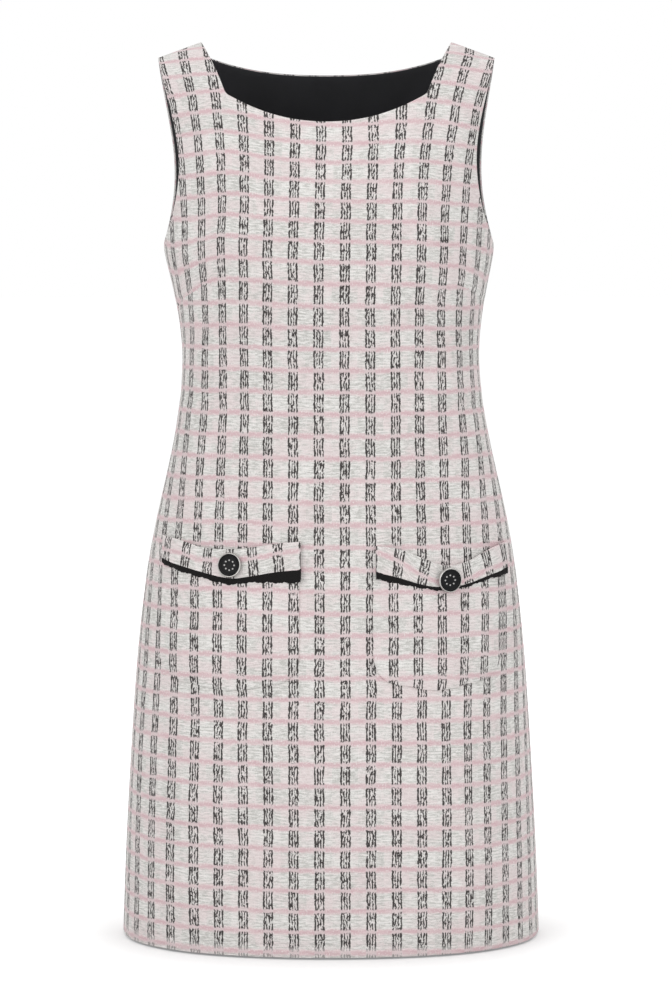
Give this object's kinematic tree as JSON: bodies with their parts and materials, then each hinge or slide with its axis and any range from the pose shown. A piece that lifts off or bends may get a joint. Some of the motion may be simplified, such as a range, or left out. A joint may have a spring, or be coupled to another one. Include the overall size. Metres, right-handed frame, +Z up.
{
  "type": "a-line dress",
  "caption": "Sleeveless a-line dress in checked tweed with a black lining, square scoop neck and flap pockets.",
  "frame": {"origin": "on the shoulder line, midway between the two straps, at the height of their neck ends", "axes": "+Z up; the dress hangs down along -Z with its front facing -Y; +X is the wearer's left"},
  "size_m": [0.402, 0.296, 0.8541],
  "materials": {
    "tweed": "soft slubbed weave in off-white with dusty pink weft bands and broken black warp stripes",
    "lining": "smooth black satin",
    "trim": "matt black braid",
    "button_black": "polished black",
    "button_metal": "pale polished metal"
  },
  "bodies": {
    "root": {"front": "tweed", "back": "tweed", "lining_front": "lining", "lining_back": "lining", "pocket_right": "tweed", "pocket_left": "tweed", "flap_right": "tweed", "flap_left": "tweed", "flap_trim_right": "trim", "flap_trim_left": "trim", "button_rim_right": "button_metal", "button_rim_left": "button_metal", "button_right": "button_black", "button_left": "button_black"}
  },
  "joints": []
}
